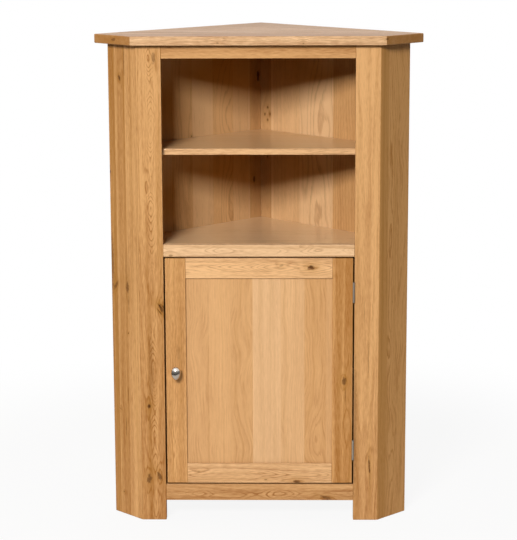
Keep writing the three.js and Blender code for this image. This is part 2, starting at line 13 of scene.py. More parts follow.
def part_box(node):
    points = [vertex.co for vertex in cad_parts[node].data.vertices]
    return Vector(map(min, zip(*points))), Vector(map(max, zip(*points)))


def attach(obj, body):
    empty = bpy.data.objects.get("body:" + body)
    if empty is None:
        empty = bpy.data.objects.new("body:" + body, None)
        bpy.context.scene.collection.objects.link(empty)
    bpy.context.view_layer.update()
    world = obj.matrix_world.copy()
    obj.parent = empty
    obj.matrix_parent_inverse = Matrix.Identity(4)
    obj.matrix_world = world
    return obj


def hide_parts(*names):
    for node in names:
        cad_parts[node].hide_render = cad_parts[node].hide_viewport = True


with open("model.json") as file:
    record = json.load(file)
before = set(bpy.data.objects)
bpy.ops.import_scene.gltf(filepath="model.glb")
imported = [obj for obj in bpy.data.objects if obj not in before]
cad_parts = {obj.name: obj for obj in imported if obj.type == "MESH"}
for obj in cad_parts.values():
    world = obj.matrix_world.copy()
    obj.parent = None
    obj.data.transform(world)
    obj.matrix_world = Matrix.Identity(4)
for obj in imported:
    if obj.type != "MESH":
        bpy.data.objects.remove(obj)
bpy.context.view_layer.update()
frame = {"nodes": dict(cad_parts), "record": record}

bl_info = {
    "name": "Oak Corner Cupboard",
    "version": (1, 0, 0),
    "blender": (4, 5, 0),
    "location": "View3D > Sidebar > Cupboard",
    "description": "Dresses a corner cupboard in lacquered oak and nickel, with lamp, floor and camera",
    "category": "Object",
}

BODY_OF = {node: body for body, nodes in frame["record"]["behaviour"]["bodies"].items() for node in nodes}
SLOT_OF = {row["node"]: row["material_slot"] for row in frame["record"]["subparts"]}

# Directions in the shared frame: a board is placed by the way its grain runs and the way its face looks
SLANT = math.sqrt(0.5)
RIGHT = Vector((1, 0, 0))
DOWN = Vector((0, 0, -1))
UP = Vector((0, 0, 1))
FRONT = Vector((0, -1, 0))
FRONT_RIGHT = Vector((SLANT, -SLANT, 0))
FRONT_LEFT = Vector((-SLANT, -SLANT, 0))
BACK_RIGHT = Vector((SLANT, SLANT, 0))


# Nodes of materials and of the world

class Value:
    """A socket that a material's nodes give. Arithmetic on it adds Math nodes."""

    def __init__(self, finish, socket):
        self.finish = finish
        self.socket = socket

    def math(self, operation, first, second=0.0):
        return self.finish.add("ShaderNodeMath", {"operation": operation}, {0: first, 1: second})

    def __add__(self, other):
        return self.math("ADD", self, other)

    def __radd__(self, other):
        return self.math("ADD", other, self)

    def __sub__(self, other):
        return self.math("SUBTRACT", self, other)

    def __rsub__(self, other):
        return self.math("SUBTRACT", other, self)

    def __mul__(self, other):
        return self.math("MULTIPLY", self, other)

    def __rmul__(self, other):
        return self.math("MULTIPLY", other, self)

    def root(self):
        return self.math("SQRT", self)

    def fraction(self):
        return self.math("FRACT", self)

    def size(self):
        return self.math("ABSOLUTE", self)

    def fall(self):
        """Falls from 1 at a value of 0 to nearly nothing at a value of 4."""
        return self.math("EXPONENT", self * -1.0)


class Finish:
    """The node tree of one material or of the world."""

    def __init__(self, owner):
        owner.use_nodes = True
        self.owner = owner
        self.tree = owner.node_tree
        self.tree.nodes.clear()

    def add(self, kind, settings=None, sockets=None, output=0):
        """Adds a node, with its settings first, then its sockets by place or name, and gives an output."""
        node = self.tree.nodes.new(kind)
        for name, value in (settings or {}).items():
            setattr(node, name, value)
        for key, value in (sockets or {}).items():
            socket = node.inputs[key] if isinstance(key, int) else self.shown(node.inputs, key)
            if isinstance(value, Value):
                self.tree.links.new(value.socket, socket)
            else:
                socket.default_value = value
        return Value(self, self.shown(node.outputs, output)) if node.outputs else node

    @staticmethod
    def shown(sockets, key):
        usable = [socket for socket in sockets if socket.enabled]
        return usable[key] if isinstance(key, int) else next(s for s in usable if s.name == key)

    def parts(self, vector):
        sockets = self.add("ShaderNodeSeparateXYZ", {}, {0: vector}).socket.node.outputs
        return [Value(self, socket) for socket in sockets]

    def vector(self, x, y, z):
        return self.add("ShaderNodeCombineXYZ", {}, {0: x, 1: y, 2: z})

    def vector_math(self, operation, first, second):
        return self.add("ShaderNodeVectorMath", {"operation": operation}, {0: first, 1: second})

    def coordinates(self, kind):
        return self.add("ShaderNodeTexCoord", {}, {}, kind)

    def face_value(self, name):
        return self.add("ShaderNodeAttribute", {"attribute_name": name}, {}, "Fac")

    def ray(self, kind):
        return self.add("ShaderNodeLightPath", {}, {}, kind)

    def noise(self, place, per_metre, detail=2.0):
        """Noise around one half, with so many grains to the metre on each axis."""
        scaled = self.vector_math("MULTIPLY", place, per_metre)
        return self.add("ShaderNodeTexNoise", {}, {"Vector": scaled, "Scale": 1.0, "Detail": detail})

    def step(self, value, low, high):
        """Rises smoothly from 0 at low to 1 at high, or falls where low is the larger."""
        settings = {"interpolation_type": "SMOOTHSTEP"}
        return self.add("ShaderNodeMapRange", settings, {"Value": value, "From Min": low, "From Max": high})

    def mix(self, amount, first, second):
        settings = {"data_type": "RGBA", "clamp_factor": True}
        return self.add("ShaderNodeMix", settings, {"Factor": amount, "A": first, "B": second})

    def bump(self, height, distance, strength):
        return self.add("ShaderNodeBump", {}, {"Height": height, "Distance": distance, "Strength": strength})

    def surface(self, sockets):
        shader = self.add("ShaderNodeBsdfPrincipled", {}, sockets)
        self.add("ShaderNodeOutputMaterial", {}, {"Surface": shader})
        return self.owner


def opaque(colour):
    return (*colour, 1.0)


# Oak boards

class Knot(NamedTuple):
    """A knot or a dark streak, and the flame of rings round it.

    Its place is from the middle of the board, and on_edge puts it in the edge, with across through the
    thickness. Size is its half width, dark how strongly it shows, stretch its length for its width and lean
    its slant to the grain. Push is how far it moves the rings, over a flame of half length reach and half
    width spread.
    """

    along: float
    across: float
    size: float = 0.003
    dark: float = 0.6
    stretch: float = 1.5
    push: float = 0.004
    reach: float = 0.040
    spread: float = 0.012
    lean: float = 0.0
    on_edge: bool = False


class Heart(NamedTuple):
    """A line of pointed rings along a flat-sawn board.

    It has its place across, its strength, half width and ring width, how steep the points are, and how far
    its rings are pushed to and fro along the board, so many times to the metre.
    """

    across: float
    strength: float = 0.8
    width: float = 0.008
    ring: float = 0.0036
    steep: float = 0.5
    push: float = 0.075
    per_metre: float = 7.0


class Plank(NamedTuple):
    """One glued strip: its share of the width, how much darker it is, its pith, tints and wavy grain."""

    share: float = 1.0
    shade: float = 0.0
    pith: float = 0.0
    amber: float = 0.0
    wave: float = 0.0
    cream: float = 0.0


class Board(NamedTuple):
    """How one board was sawn, and what shows on it.

    Tone makes it lighter, fall darker towards the end of its grain, and the face shade paints shade on its
    broad faces alone, or paints light on them where it is below zero.
    Contrast is that of the whole pattern, figure that of the rings and bands that of wide stripes. Cream and
    amber are shares of those tints. The rings lie a ring width apart, round a pith that is a depth behind the
    face, with a slope along the board and a slow sway. Gloss is the share of lacquer that shines.
    """

    node: str
    grain: Vector
    face: Vector
    seed: float
    tone: float = 0.0
    cream: float = 0.0
    contrast: float = 1.0
    figure: float = 1.0
    bands: float = 1.0
    fall: float = 0.0
    amber: float = 0.2
    ring: float = 0.0034
    depth: float = 0.045
    slope: float = 0.012
    sway: float = 0.012
    gloss: float = 0.05
    painted_face_shade: float = 0.0
    hearts: tuple = ()
    planks: tuple = (Plank(),)
    knots: tuple = ()
    eased: bool = True


def flame(along, across, reach=0.05, push=0.005, spread=0.010):
    """A flame of rings without a knot."""
    return Knot(along, across, 0.0, 0.0, 1.0, push, reach, spread)


def streak(along, across, half_length, half_width, dark):
    """A dark streak along the grain that leaves the rings alone."""
    return Knot(along, across, half_width, dark, half_length / half_width, 0.0)


def even_planks(count, spread, seed, shade=0.0, width_spread=0.25, pith_spread=0.03):
    """Strips of nearly equal width, with shades and piths that vary."""
    draw = random.Random(seed)

    def vary(middle, reach):
        return middle + draw.uniform(-reach, reach)

    return tuple(
        Plank(vary(1, width_spread), vary(shade, spread), vary(0, pith_spread))
        for _ in range(count)
    )


FRONT_STILE_BOARDS = (
    Board(
        "left_front_stile", DOWN, FRONT, 1.3, tone=-0.08, fall=0.38, bands=0.8,
        hearts=(Heart(0.003, 0.9, 0.009, 0.0032),),
        knots=(
            Knot(-0.557, 0.013, 0.0044, 0.50, 3.4, 0.003, 0.060),
            flame(-0.250, -0.008, 0.035),
            Knot(0.051, 0.0240, 0.0048, 0.80, 2.4, 0.006, 0.030, 0.014, 0.45),
            Knot(0.058, 0.0190, 0.0020, 0.80, 4.0, 0.0, lean=0.70),
            Knot(0.046, 0.0285, 0.0026, 0.80, 2.6, 0.0, lean=0.70),
            Knot(0.043, 0.0190, 0.0015, 0.50, 4.0, 0.0, lean=0.85),
            Knot(0.297, -0.010, 0.0046, 0.95, 1.3, 0.005, 0.045, 0.012),
            streak(0.340, -0.008, 0.022, 0.0014, 0.35),
            streak(0.200, -0.003, 0.090, 0.0070, 0.20),
            Knot(0.482, -0.011, 0.0062, 0.66, 2.0, 0.007, 0.040, 0.011, -0.10),
            Knot(0.476, 0.014, 0.0056, 0.68, 2.0, 0.007, 0.034, 0.010, 0.35))),
    Board(
        "right_front_stile", DOWN, FRONT, 2.1, tone=-0.03, cream=0.1, contrast=0.8, fall=0.36, depth=0.085,
        planks=(Plank(shade=-0.05),),
        knots=(
            streak(0.180, 0.005, 0.045, 0.0009, 0.40),
            streak(0.060, -0.006, 0.030, 0.0008, 0.32),
            Knot(0.445, 0.009, 0.0022, 0.72, 9.0, 0.004, 0.050, 0.012, 0.05),
            streak(0.480, 0.011, 0.030, 0.0012, 0.40),
            streak(0.340, -0.028, 0.170, 0.0050, 0.36))),
)
SIDE_RETURN_BOARDS = (
    Board(
        "left_side_return", DOWN, FRONT_LEFT, 3.7, tone=-0.04, amber=0.45, figure=0.5,
        planks=(
            Plank(0.225, 0.26, 0.03, 0.26),
            Plank(0.095, -0.06, 0.0, 0.16),
            Plank(0.265, 0.22, -0.01, 0.24),
            Plank(0.415, -0.08, 0.02, 0.06)),
        knots=(
            Knot(-0.508, -0.009, 0.0044, 0.90, 1.6, 0.005, 0.030, 0.012, 0.35),
            streak(-0.545, 0.009, 0.036, 0.0020, 0.45),
            Knot(-0.276, -0.050, 0.0028, 0.80, 1.3),
            streak(-0.050, -0.047, 0.070, 0.0060, 0.46),
            Knot(0.004, -0.034, 0.0058, 0.56, 1.9, 0.005, 0.030, 0.012, -0.60),
            Knot(0.004, 0.009, 0.0056, 0.52, 2.7, 0.005, 0.030),
            streak(0.050, 0.012, 0.026, 0.0020, 0.30),
            streak(-0.020, 0.008, 0.070, 0.0080, 0.12),
            Knot(0.119, 0.009, 0.0016, 0.90, 1.3, 0.002, 0.010),
            streak(0.277, 0.006, 0.020, 0.0018, 0.35),
            Knot(0.317, -0.026, 0.0012, 0.70, 2.0, 0.002, 0.015, 0.012, 2.0),
            streak(0.360, -0.004, 0.026, 0.0014, 0.50),
            Knot(0.532, -0.018, 0.0017, 0.80, 1.4, 0.002, 0.010),
            flame(-0.400, 0.025, 0.030))),
    Board(
        "right_side_return", DOWN, FRONT_RIGHT, 4.9, contrast=1.15, bands=0.8, fall=0.10, ring=0.0042,
        planks=(
            Plank(0.27, -0.22, 0.03, 0.62),
            Plank(0.73, -0.28, 0.01, 0.36, 0.035)),
        knots=(
            Knot(0.040, -0.004, 0.0010, 0.4, 3.0),
            flame(-0.330, -0.006, 0.080, 0.010, 0.014),
            flame(-0.120, -0.010, 0.080, 0.010, 0.014),
            flame(0.160, -0.012, 0.070, 0.008),
            flame(0.440, 0.004, 0.070, 0.008))),
)
RAIL_BOARDS = (
    Board("top_rail", RIGHT, FRONT, 5.2, tone=-0.05, cream=0.1, figure=0.6),
    Board(
        "middle_rail", RIGHT, FRONT, 6.4, cream=1.0, contrast=0.75,
        hearts=(Heart(0.0, 0.7, 0.010, push=0.08),),
        knots=(
            Knot(-0.214, -0.012, 0.0028, 0.50, 1.8, 0.003, 0.020),
            flame(0.113, 0.010, 0.030))),
    Board(
        "plinth_rail", RIGHT, FRONT, 7.5, tone=-0.08, cream=0.15,
        hearts=(Heart(-0.003, 0.6, 0.010, push=0.07),),
        planks=(Plank(shade=0.12),),
        knots=(
            Knot(0.165, -0.014, 0.0042, 0.60, 3.4, 0.004, 0.030, 0.012, -0.25),
            flame(0.023, -0.005, 0.016))),
)
TOP_BOARDS = (
    # The top board's broad faces are darker than its edges: painted shade
    Board(
        "top_board", RIGHT, UP, 8.8, cream=0.9, contrast=1.2, painted_face_shade=0.50, eased=False,
        planks=even_planks(5, 0.10, 8),
        knots=(
            Knot(-0.096, -0.005, 0.0020, 0.5, 1.5, 0.002, 0.015, on_edge=True),
            Knot(0.107, -0.006, 0.0018, 0.5, 1.5, 0.002, 0.015, on_edge=True),
            Knot(0.305, 0.0036, 0.0026, 0.6, 1.6, 0.002, 0.015, on_edge=True),
            Knot(-0.345, 0.001, 0.0038, 0.55, 1.6, 0.002, 0.015, lean=0.3, on_edge=True))),
)
BACK_BOARDS = (
    Board(
        "left_back_panel", DOWN, FRONT_RIGHT, 9.1, tone=-0.03, cream=0.2, contrast=0.6, bands=0.5, fall=0.45,
        amber=0.0, ring=0.007,
        planks=(
            Plank(0.20, -0.10, 0.01, wave=0.05),
            Plank(0.15, -0.20, -0.01, cream=0.2),
            Plank(0.15, -0.10, 0.02, wave=0.04),
            Plank(0.15, -0.24, cream=0.3),
            Plank(0.15, -0.18, -0.02, wave=0.05),
            Plank(0.115, -0.22, 0.01, cream=0.2),
            Plank(0.012, -0.25, cream=0.4),
            Plank(0.085, -0.02, amber=0.12)),
        knots=(
            flame(-0.380, 0.110, 0.090, 0.012, 0.026),
            flame(-0.080, 0.125, 0.120, 0.014, 0.026),
            Knot(-0.184, 0.213, 0.0032, 0.8, 3.0, 0.004, 0.030),
            Knot(-0.452, 0.228, 0.0050, 0.9, 3.0, 0.004, 0.030),
            Knot(-0.316, -0.006, 0.0020, 0.7))),
    Board(
        "right_back_panel", DOWN, FRONT_LEFT, 10.6, tone=-0.05, cream=0.3, contrast=0.6, bands=0.4, fall=0.30,
        amber=0.08, ring=0.008,
        planks=(
            Plank(0.110, 0.04, amber=0.10),
            Plank(0.012, -0.25, cream=0.3),
            Plank(0.20, -0.12, 0.01, cream=0.15),
            Plank(0.245, -0.18, -0.02, wave=0.04, cream=0.35),
            Plank(0.445, 0.08, 0.01, 0.05, 0.02, -0.15)),
        knots=(
            flame(-0.360, -0.020, 0.130, 0.022, 0.040),
            flame(-0.100, -0.030, 0.120, 0.020, 0.036),
            Knot(-0.372, -0.205, 0.0030, 0.75, 1.3, 0.003, 0.020),
            Knot(-0.353, -0.215, 0.0028, 0.75, 1.3, 0.003, 0.020),
            Knot(-0.355, -0.196, 0.0024, 0.75, 1.6, 0.003, 0.020),
            Knot(-0.339, -0.205, 0.0028, 0.75, 1.3, 0.003, 0.020),
            Knot(-0.243, -0.206, 0.0022, 0.6, 1.4, 0.003, 0.020))),
)
SHELF_BOARDS = (
    # The middle shelf's broad faces are lighter than its edges: painted light
    Board(
        "middle_shelf", RIGHT, UP, 11.3, tone=0.05, cream=1.1, gloss=1.0, amber=0.0, painted_face_shade=-0.48,
        planks=even_planks(5, 0.08, 11)),
    Board(
        "bottom_board", RIGHT, UP, 12.7, cream=0.6, contrast=0.6, gloss=1.0, amber=0.0,
        planks=even_planks(5, 0.12, 12, -0.10)),
    # The upper shelf's broad faces are lighter than its edges: painted light
    Board(
        "upper_shelf", RIGHT, UP, 13.4, cream=0.5, contrast=1.2, gloss=0.6, amber=0.0, painted_face_shade=-0.55,
        planks=even_planks(5, 0.08, 13, 0.04)),
    Board(
        "cupboard_shelf", RIGHT, UP, 14.2, cream=0.6, contrast=0.6, gloss=1.0, amber=0.0,
        planks=even_planks(5, 0.12, 14, -0.10)),
)
SUPPORT_BOARDS = (
    Board("rear_foot", DOWN, FRONT_LEFT, 15.5),
    Board("middle_shelf_left_cleat", BACK_RIGHT, FRONT_RIGHT, 16.1),
    Board("middle_shelf_right_cleat", FRONT_RIGHT, FRONT_LEFT, 17.2),
    Board("bottom_left_cleat", BACK_RIGHT, FRONT_RIGHT, 18.3),
    Board("bottom_right_cleat", FRONT_RIGHT, FRONT_LEFT, 19.4),
    Board("left_top_block", BACK_RIGHT, FRONT_RIGHT, 20.5),
    Board("right_top_block", FRONT_RIGHT, FRONT_LEFT, 21.6),
    Board("catch_block", DOWN, RIGHT, 22.7),
)
DOOR_BOARDS = (
    Board(
        "door_latch_stile", DOWN, FRONT, 23.8, tone=-0.04, figure=0.8, depth=0.02, slope=0.0,
        planks=(Plank(pith=0.075),),
        knots=(
            streak(-0.049, 0.006, 0.020, 0.0050, 0.20),
            flame(0.210, -0.004, 0.060, 0.008))),
    Board(
        "door_hinge_stile", DOWN, FRONT, 24.9, contrast=0.9, figure=0.7, depth=0.07,
        planks=(Plank(0.17, 0.0, 0.02), Plank(0.83, 0.38, 0.0, 0.24)),
        knots=(
            Knot(0.024, 0.0045, 0.0058, 0.72, 1.8, 0.006, 0.030),
            streak(0.060, 0.008, 0.024, 0.0016, 0.35),
            flame(0.130, 0.010))),
    Board(
        "door_top_rail", RIGHT, FRONT, 25.3, tone=0.04, cream=0.45,
        hearts=(Heart(0.002, 0.6, 0.014, 0.0042, 0.8, 0.10, 4.0),),
        knots=(
            Knot(0.127, 0.002, 0.0056, 0.90, 1.6, 0.008, 0.030, 0.014),
            Knot(0.055, 0.007, 0.0030, 0.35, 1.8, 0.004, 0.020),
            flame(-0.142, -0.004, 0.050))),
    Board(
        "door_bottom_rail", RIGHT, FRONT, 26.4, cream=0.5,
        hearts=(Heart(-0.002, 0.6, 0.012, 0.0042, 0.8, 0.09, 4.0),),
        knots=(
            Knot(0.092, -0.021, 0.0038, 0.78, 2.6, 0.005, 0.040),
            Knot(0.015, -0.017, 0.0018, 0.55, 2.0, 0.002, 0.020),
            Knot(-0.151, 0.004, 0.0022, 0.35, 2.0, 0.003, 0.030))),
    Board(
        "door_panel", DOWN, FRONT, 27.5, cream=0.3, contrast=0.36, bands=0.6, fall=0.14, amber=0.12,
        ring=0.0030,
        planks=(
            Plank(0.168, 0.02, 0.02, wave=0.04),
            Plank(0.143, -0.10, -0.02, wave=0.01),
            Plank(0.146, -0.04, 0.01, 0.07, 0.05),
            Plank(0.184, -0.09, 0.08, cream=0.38),
            Plank(0.157, -0.09, -0.03, wave=0.02, cream=0.20),
            Plank(0.145, 0.02, wave=0.06, cream=-0.10),
            Plank(0.057, -0.04, 0.01)),
        knots=(flame(0.170, 0.140, 0.050, 0.006, 0.014),)),
)


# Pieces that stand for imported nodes

# The angles in degrees under which faces that meet are shaded as one, on eased, crisp and round pieces
EASED_ANGLE = 40
CRISP_ANGLE = 10
ROUND_ANGLE = 60

# Packed points nearer than this are one point, and faces that meet at less than this angle are one face
SAME_POINT = 1e-6
FLAT_ANGLE = 0.5

# A long edge is eased where the faces beside it are more than so many radii wide
RADII_BESIDE_EDGE = 2.5


def placement(grain, face, points):
    """The matrix of a frame with x along the grain and z out of the face, at the middle of the points."""
    turn = Matrix((grain, face.cross(grain), face)).transposed()
    local = [turn.transposed() @ point for point in points]
    middle = Vector([(min(p[i] for p in local) + max(p[i] for p in local)) / 2 for i in range(3)])
    return Matrix.Translation(turn @ middle) @ turn.to_4x4()


def packed_points(node):
    """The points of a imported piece, in the shared frame."""
    return [vertex.co for vertex in frame["nodes"][node].data.vertices]


def packed_shape(node, place):
    """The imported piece's shape in a local frame, with flat faces made whole."""
    shape = bmesh.new()
    shape.from_mesh(frame["nodes"][node].data)
    bmesh.ops.remove_doubles(shape, verts=shape.verts, dist=SAME_POINT)
    flat = math.radians(FLAT_ANGLE)
    bmesh.ops.dissolve_limit(shape, angle_limit=flat, verts=shape.verts, edges=shape.edges)
    shape.transform(place.inverted())
    shape.normal_update()
    return shape


def ease_edges(shape, radius, steps, shortest):
    """Rounds the long outer edges, where the faces beside them are wide enough."""
    def is_eased(edge):
        length = edge.calc_length()
        if not (edge.is_manifold and edge.is_convex and length > shortest):
            return False
        wide = all(face.calc_area() > RADII_BESIDE_EDGE * radius * length for face in edge.link_faces)
        return wide and edge.calc_face_angle() > math.radians(EASED_ANGLE)

    sharp = [edge for edge in shape.edges if is_eased(edge)]
    bmesh.ops.bevel(shape, geom=sharp, offset=radius, segments=steps, profile=0.5, affect="EDGES")


def part_planks(shape, planks, painted_face_shade):
    """Cuts the faces along the glue lines and notes on each face which plank it is and what shows on it."""
    low = min(v.co.y for v in shape.verts)
    high = max(v.co.y for v in shape.verts)
    total = sum(plank.share for plank in planks)
    edges = [low]
    for plank in planks:
        edges.append(edges[-1] + (high - low) * plank.share / total)
    for seam in edges[1:-1]:
        everything = shape.verts[:] + shape.edges[:] + shape.faces[:]
        bmesh.ops.bisect_plane(shape, geom=everything, plane_co=(0, seam, 0), plane_no=(0, 1, 0))
    for name in ("plank", *Plank._fields[1:]):
        shape.faces.layers.float.new(name)
    for face in shape.faces:
        across = face.calc_center_median().y
        index = sum(across > seam for seam in edges[1:-1])
        middle = (edges[index] + edges[index + 1]) / 2
        notes = {**planks[index]._asdict(), "plank": index, "pith": middle + planks[index].pith}
        # Broad faces take the board's face shade: painted shade, or painted light where it is below zero
        if abs(face.normal.z) > SLANT:
            notes["shade"] += painted_face_shade
        for name in ("plank", *Plank._fields[1:]):
            face[shape.faces.layers.float[name]] = notes[name]


def finished_piece(name, shape, material, place, node, smooth_angle=EASED_ANGLE):
    """Makes the object of a shape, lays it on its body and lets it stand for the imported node."""
    mesh = bpy.data.meshes.new(name)
    shape.to_mesh(mesh)
    shape.free()
    for face in mesh.polygons:
        face.use_smooth = True
    mesh.set_sharp_from_angle(angle=math.radians(smooth_angle))
    mesh.materials.append(material)
    piece = bpy.data.objects.new(name, mesh)
    bpy.context.scene.collection.objects.link(piece)
    piece.matrix_world = place
    weighted = piece.modifiers.new("flat_faces", "WEIGHTED_NORMAL")
    weighted.keep_sharp = True
    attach(piece, BODY_OF[node])
    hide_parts(node)


# How many grains each noise in the wood has to the metre: along, across and into the board
KNOT_EDGE_GRAINS = (150.0, 260.0, 260.0)
BEND_GRAINS = (6.0, 9.0, 9.0)
SWAY_GRAINS = (1.3, 7.0, 7.0)
HEART_DRIFT_GRAINS = (2.5, 0.0, 0.0)
HEART_SHOWN_GRAINS = (5.0, 0.0, 0.0)
HEART_WOBBLE_GRAINS = (60.0, 150.0, 150.0)
STRAND_GRAINS = (5.0, 260.0, 260.0)
FIBRE_GRAINS = (52.0, 400.0, 400.0)
FINE_FIBRE_GRAINS = (30.0, 1200.0, 1200.0)
PORE_GRAINS = (60.0, 1900.0, 1900.0)
CLOUD_GRAINS = (4.0, 22.0, 22.0)
BAND_GRAINS = (0.7, 62.0, 62.0)
PALE_LINE_GRAINS = (0.8, 170.0, 170.0)
VEIN_GRAINS = (0.7, 95.0, 95.0)

# Lengths in the pattern of the wood
PLAIN_BEND = 0.010
STRAND_SHIFT = 0.003
HEART_DRIFT = 0.015
HEART_WOBBLE = 0.0022
HEART_POINT = 0.002
PORE_DEPTH = 0.0002

# How strongly rings show in plain wood, in wavy wood for each unit of wave, and in a flame
PLAIN_FIGURE = 0.35
WAVE_FIGURE = 6.0
FLAME_FIGURE = 0.7

# A flame bends the grain by this share of the way to its middle
FLAME_BEND = 0.5

# How ragged the edge of a knot is, and how far and how strongly its halo shows
KNOT_RAGGEDNESS = 2.6
HALO_STEEPNESS = 0.16
HALO_SHARE = 0.55

# How much each part of the pattern darkens the wood. The mean of the early wood leaves its tone alone
MEAN_EARLY = 0.26
RING_TONE = 0.6
FIBRE_TONE = 1.05
STRAND_TONE = 0.38
FINE_FIBRE_TONE = 0.4
PORE_TONE = 0.3
CLOUD_TONE = 0.6
PALE_LINE_TONE = 0.3

# How much rougher pores and clouds are than the wood between them
PORE_ROUGHNESS = 0.15

# How strongly a heart shows where it is weakest
LEAST_HEART = 0.25


class Places(NamedTuple):
    """Where a point of a board lies: along and across the grain, how deep, and where in the noise."""

    along: Value
    across: Value
    deep: Value
    start: Value
    seeded: Value


class KnotMarks(NamedTuple):
    """What knots do to a board: they bend and bulge the rings, make them show, and leave haloed spots."""

    bend: Value
    bulge: Value
    flamed: Value
    spots: Value
    halo: Value


def board_places(finish, board):
    """Works out the places. Each plank starts at its own place in the noise, so that neighbours differ."""
    place = finish.coordinates("Object")
    plank = finish.face_value("plank")
    start = finish.vector(plank * 0.713 + board.seed, plank * 0.291 + board.seed * 0.37, board.seed)
    return Places(*finish.parts(place), start, finish.vector_math("ADD", place, start))


def knot_marks(finish, board, at):
    """Adds up the marks of a board's knots, flames and streaks."""
    ragged = (finish.noise(at.seeded, KNOT_EDGE_GRAINS) - 0.5) * KNOT_RAGGEDNESS
    wave = finish.face_value("wave")
    bend = (finish.noise(at.seeded, BEND_GRAINS, 1.0) - 0.5) * (wave + PLAIN_BEND)
    flamed = wave * WAVE_FIGURE + PLAIN_FIGURE
    bulge, spots, halo = 0.0, 0.0, 0.0
    for knot in board.knots:
        x = at.along - knot.along
        y = (at.deep if knot.on_edge else at.across) - knot.across
        if knot.push:
            x_share = x * (1 / knot.reach)
            y_share = y * (1 / knot.spread)
            near = (x_share * x_share + y_share * y_share).fall()
            bend = bend - y * near * FLAME_BEND
            bulge = near * knot.push + bulge
            flamed = near * FLAME_FIGURE + flamed
        if knot.dark:
            x_share = x * (1 / (knot.stretch * knot.size))
            y_share = (y - x * knot.lean) * (1 / knot.size)
            away = x_share * x_share + y_share * y_share + ragged
            spots = finish.step(away, 1.5, 0.1) * knot.dark + spots
            halo = (away * HALO_STEEPNESS).fall() * (knot.dark * HALO_SHARE) + halo
    return KnotMarks(bend, bulge, flamed, spots, halo)


def early_wood(finish, rings):
    """The dark pores that start each ring: sharp on one side, and fading on the other."""
    age = rings.fraction()
    return finish.step(age, 0.4, 0.0) + finish.step(age, 0.88, 1.0)


def growth_rings(finish, board, at, marks, bent, flowing):
    """The early wood of the rings, how strongly they show, and the strands that unsettle them."""
    strand = finish.noise(flowing, STRAND_GRAINS, 1.0) - 0.5
    slow = finish.noise(at.seeded, SWAY_GRAINS, 1.0) - 0.5
    from_pith = bent - finish.face_value("pith")
    below = at.deep + at.along * board.slope + board.depth
    to_pith = (from_pith * from_pith + below * below).root()
    radius = to_pith + slow * board.sway + marks.bulge + strand * STRAND_SHIFT
    early = early_wood(finish, radius * (1 / board.ring))
    flamed = marks.flamed
    for heart in board.hearts:
        run = finish.noise(at.seeded, (heart.per_metre, 0.0, 0.0), 1.0) - 0.5
        drift = finish.noise(at.seeded, HEART_DRIFT_GRAINS, 1.0) - 0.5
        wobble = finish.noise(flowing, HEART_WOBBLE_GRAINS, 1.0) - 0.5
        shown = finish.step(finish.noise(at.seeded, HEART_SHOWN_GRAINS, 1.0), 0.36, 0.58)
        beside = bent - heart.across + drift * HEART_DRIFT
        line = (beside * beside * (1 / heart.width ** 2)).fall() * (shown * (1 - LEAST_HEART) + LEAST_HEART)
        steps = (beside * beside + HEART_POINT ** 2).root() * heart.steep
        pointed = steps + run * heart.push + wobble * HEART_WOBBLE
        early = early + (early_wood(finish, pointed * (1 / heart.ring)) - early) * line
        flamed = line * heart.strength + flamed
    return early, flamed, strand


def wood_colour(finish, board, timber, dark, flowing):
    """Honey to brown oak, or cream to fawn where it is sapwood, with amber veins and darker ends."""
    cream = finish.face_value("cream") + board.cream
    pale_tone = finish.mix(cream, opaque(timber.honey), opaque(timber.cream))
    brown_tone = finish.mix(cream, opaque(timber.honey_brown), opaque(timber.cream_brown))
    colour = finish.mix(dark, pale_tone, brown_tone)
    vein = finish.step(finish.noise(flowing, VEIN_GRAINS, 1.0), 0.5, 0.72)
    colour = finish.mix(vein * board.amber + finish.face_value("amber"), colour, opaque(timber.amber))
    # Ends that are sawn at a slant take more of the end tone than square ones
    ends = finish.parts(finish.coordinates("Normal"))[0].size()
    end_grain = finish.step(ends, 0.2, 0.4) - finish.step(ends, 0.9, 1.0) * 0.7
    return finish.mix(end_grain * timber.end_darkening, colour, opaque(timber.end))


